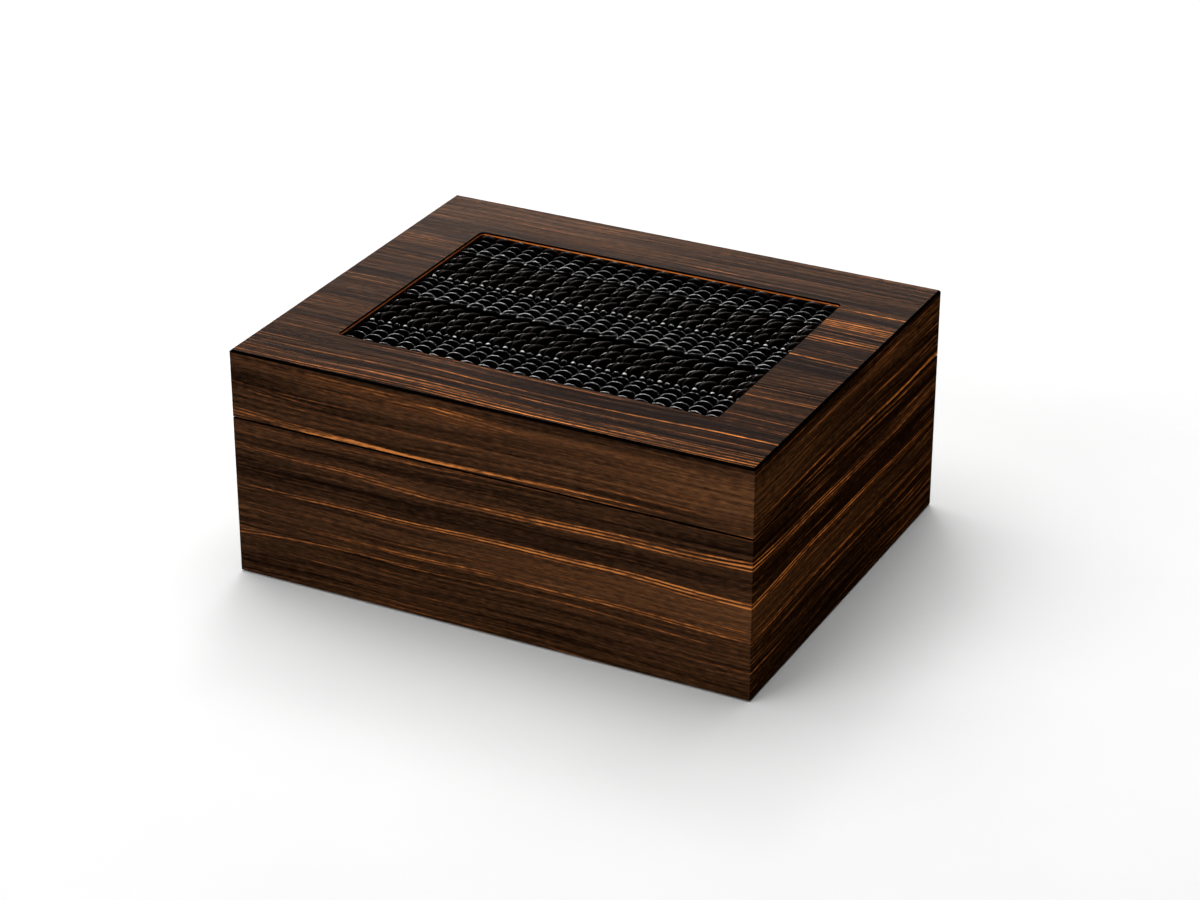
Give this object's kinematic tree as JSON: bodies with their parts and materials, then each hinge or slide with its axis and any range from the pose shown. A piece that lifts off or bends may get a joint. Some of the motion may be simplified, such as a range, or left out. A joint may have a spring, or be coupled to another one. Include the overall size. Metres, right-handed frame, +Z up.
{
  "type": "cigar humidor",
  "caption": "Desk humidor with a hinged, veneered lid holding a woven leather panel, cedar lining, lift-out tray, sliding dividers, hygrometer and humidifier.",
  "frame": {"origin": "middle of the underside, on the surface that the box stands on", "axes": "+X to the box's right as seen from the front, +Y to the hinged back, +Z up"},
  "size_m": [0.35, 0.283, 0.1523],
  "materials": {
    "veneer": "satin lacquer over dark striped veneer",
    "core": "bare brown board",
    "cedar": "planed, unfinished",
    "black_lacquer": "black lacquer, satin",
    "leather": "glossy black, woven",
    "felt": "felt",
    "brass": "polished",
    "steel": "brushed",
    "dial": "matt ivory with printed numbers",
    "needle": "matt black",
    "glass": "clear",
    "black_plastic": "moulded, matt",
    "sponge": "open foam"
  },
  "bodies": {
    "base": {"base_front": "veneer", "base_back": "veneer", "base_left": "veneer", "base_right": "veneer", "base_bottom": "core", "felt_pad": "felt", "liner_front": "cedar", "liner_back": "cedar", "liner_left": "cedar", "liner_right": "cedar", "cedar_floor": "cedar", "tray_rail_left": "cedar", "tray_rail_right": "cedar", "hinge_base_leaf_left": "brass", "hinge_base_leaf_right": "brass", "hinge_pin_left": "steel", "hinge_pin_right": "steel", "hinge_base_screws": "brass"},
    "lid": {"lid_front": "veneer", "lid_back": "veneer", "lid_left": "veneer", "lid_right": "veneer", "lid_core": "core", "lid_facing": "veneer", "stringing_front": "black_lacquer", "stringing_back": "black_lacquer", "stringing_left": "black_lacquer", "stringing_right": "black_lacquer", "recess_bead": "black_lacquer", "leather_backing": "core", "woven_leather": "leather", "lid_ceiling": "cedar", "lid_liner_front": "cedar", "lid_liner_back": "cedar", "lid_liner_left": "cedar", "lid_liner_right": "cedar", "hinge_lid_leaf_left": "brass", "hinge_lid_leaf_right": "brass", "hinge_lid_screws": "brass", "hygrometer_plate": "steel", "humidifier_plate": "steel"},
    "tray": {"tray_front": "cedar", "tray_back": "cedar", "tray_left": "cedar", "tray_right": "cedar", "tray_slats": "cedar"},
    "tray_divider": {"tray_divider": "cedar"},
    "base_divider": {"base_divider": "cedar"},
    "hygrometer": {"hygrometer_case": "brass", "hygrometer_movement": "steel", "hygrometer_dial": "dial", "hygrometer_glass": "glass", "hygrometer_bezel": "brass"},
    "needle": {"hygrometer_needle": "needle"},
    "humidifier": {"humidifier_tub": "black_plastic", "humidifier_sponge": "sponge", "humidifier_grille": "black_plastic", "humidifier_magnets": "steel"},
    "shutter": {"humidifier_shutter": "black_plastic"}
  },
  "joints": [
    {"name": "lid_hinge", "type": "hinge", "parent": "base", "child": "lid", "pos_m": [0, 0.14, 0.10715], "axis": [-1, 0, 0], "range_deg": [0, 95]},
    {"name": "tray_lift", "type": "slide", "parent": "base", "child": "tray", "axis": [0, 0, 1], "range_m": [0, 0.018]},
    {"name": "tray_divider_slide", "type": "slide", "parent": "tray", "child": "tray_divider", "axis": [1, 0, 0], "range_m": [-0.14, 0.14]},
    {"name": "base_divider_slide", "type": "slide", "parent": "base", "child": "base_divider", "axis": [1, 0, 0], "range_m": [-0.14, 0.14]},
    {"name": "hygrometer_pull", "type": "slide", "parent": "lid", "child": "hygrometer", "axis": [0, 0, -1], "range_m": [0, 0.01]},
    {"name": "needle_turn", "type": "hinge", "parent": "hygrometer", "child": "needle", "pos_m": [-0.098, 0, 0.1274], "axis": [0, 0, 1], "range_deg": [-168, 72]},
    {"name": "humidifier_pull", "type": "slide", "parent": "lid", "child": "humidifier", "axis": [0, 0, -1], "range_m": [0, 0.01]},
    {"name": "shutter_slide", "type": "slide", "parent": "humidifier", "child": "shutter", "axis": [1, 0, 0], "range_m": [0, 0.004]}
  ]
}
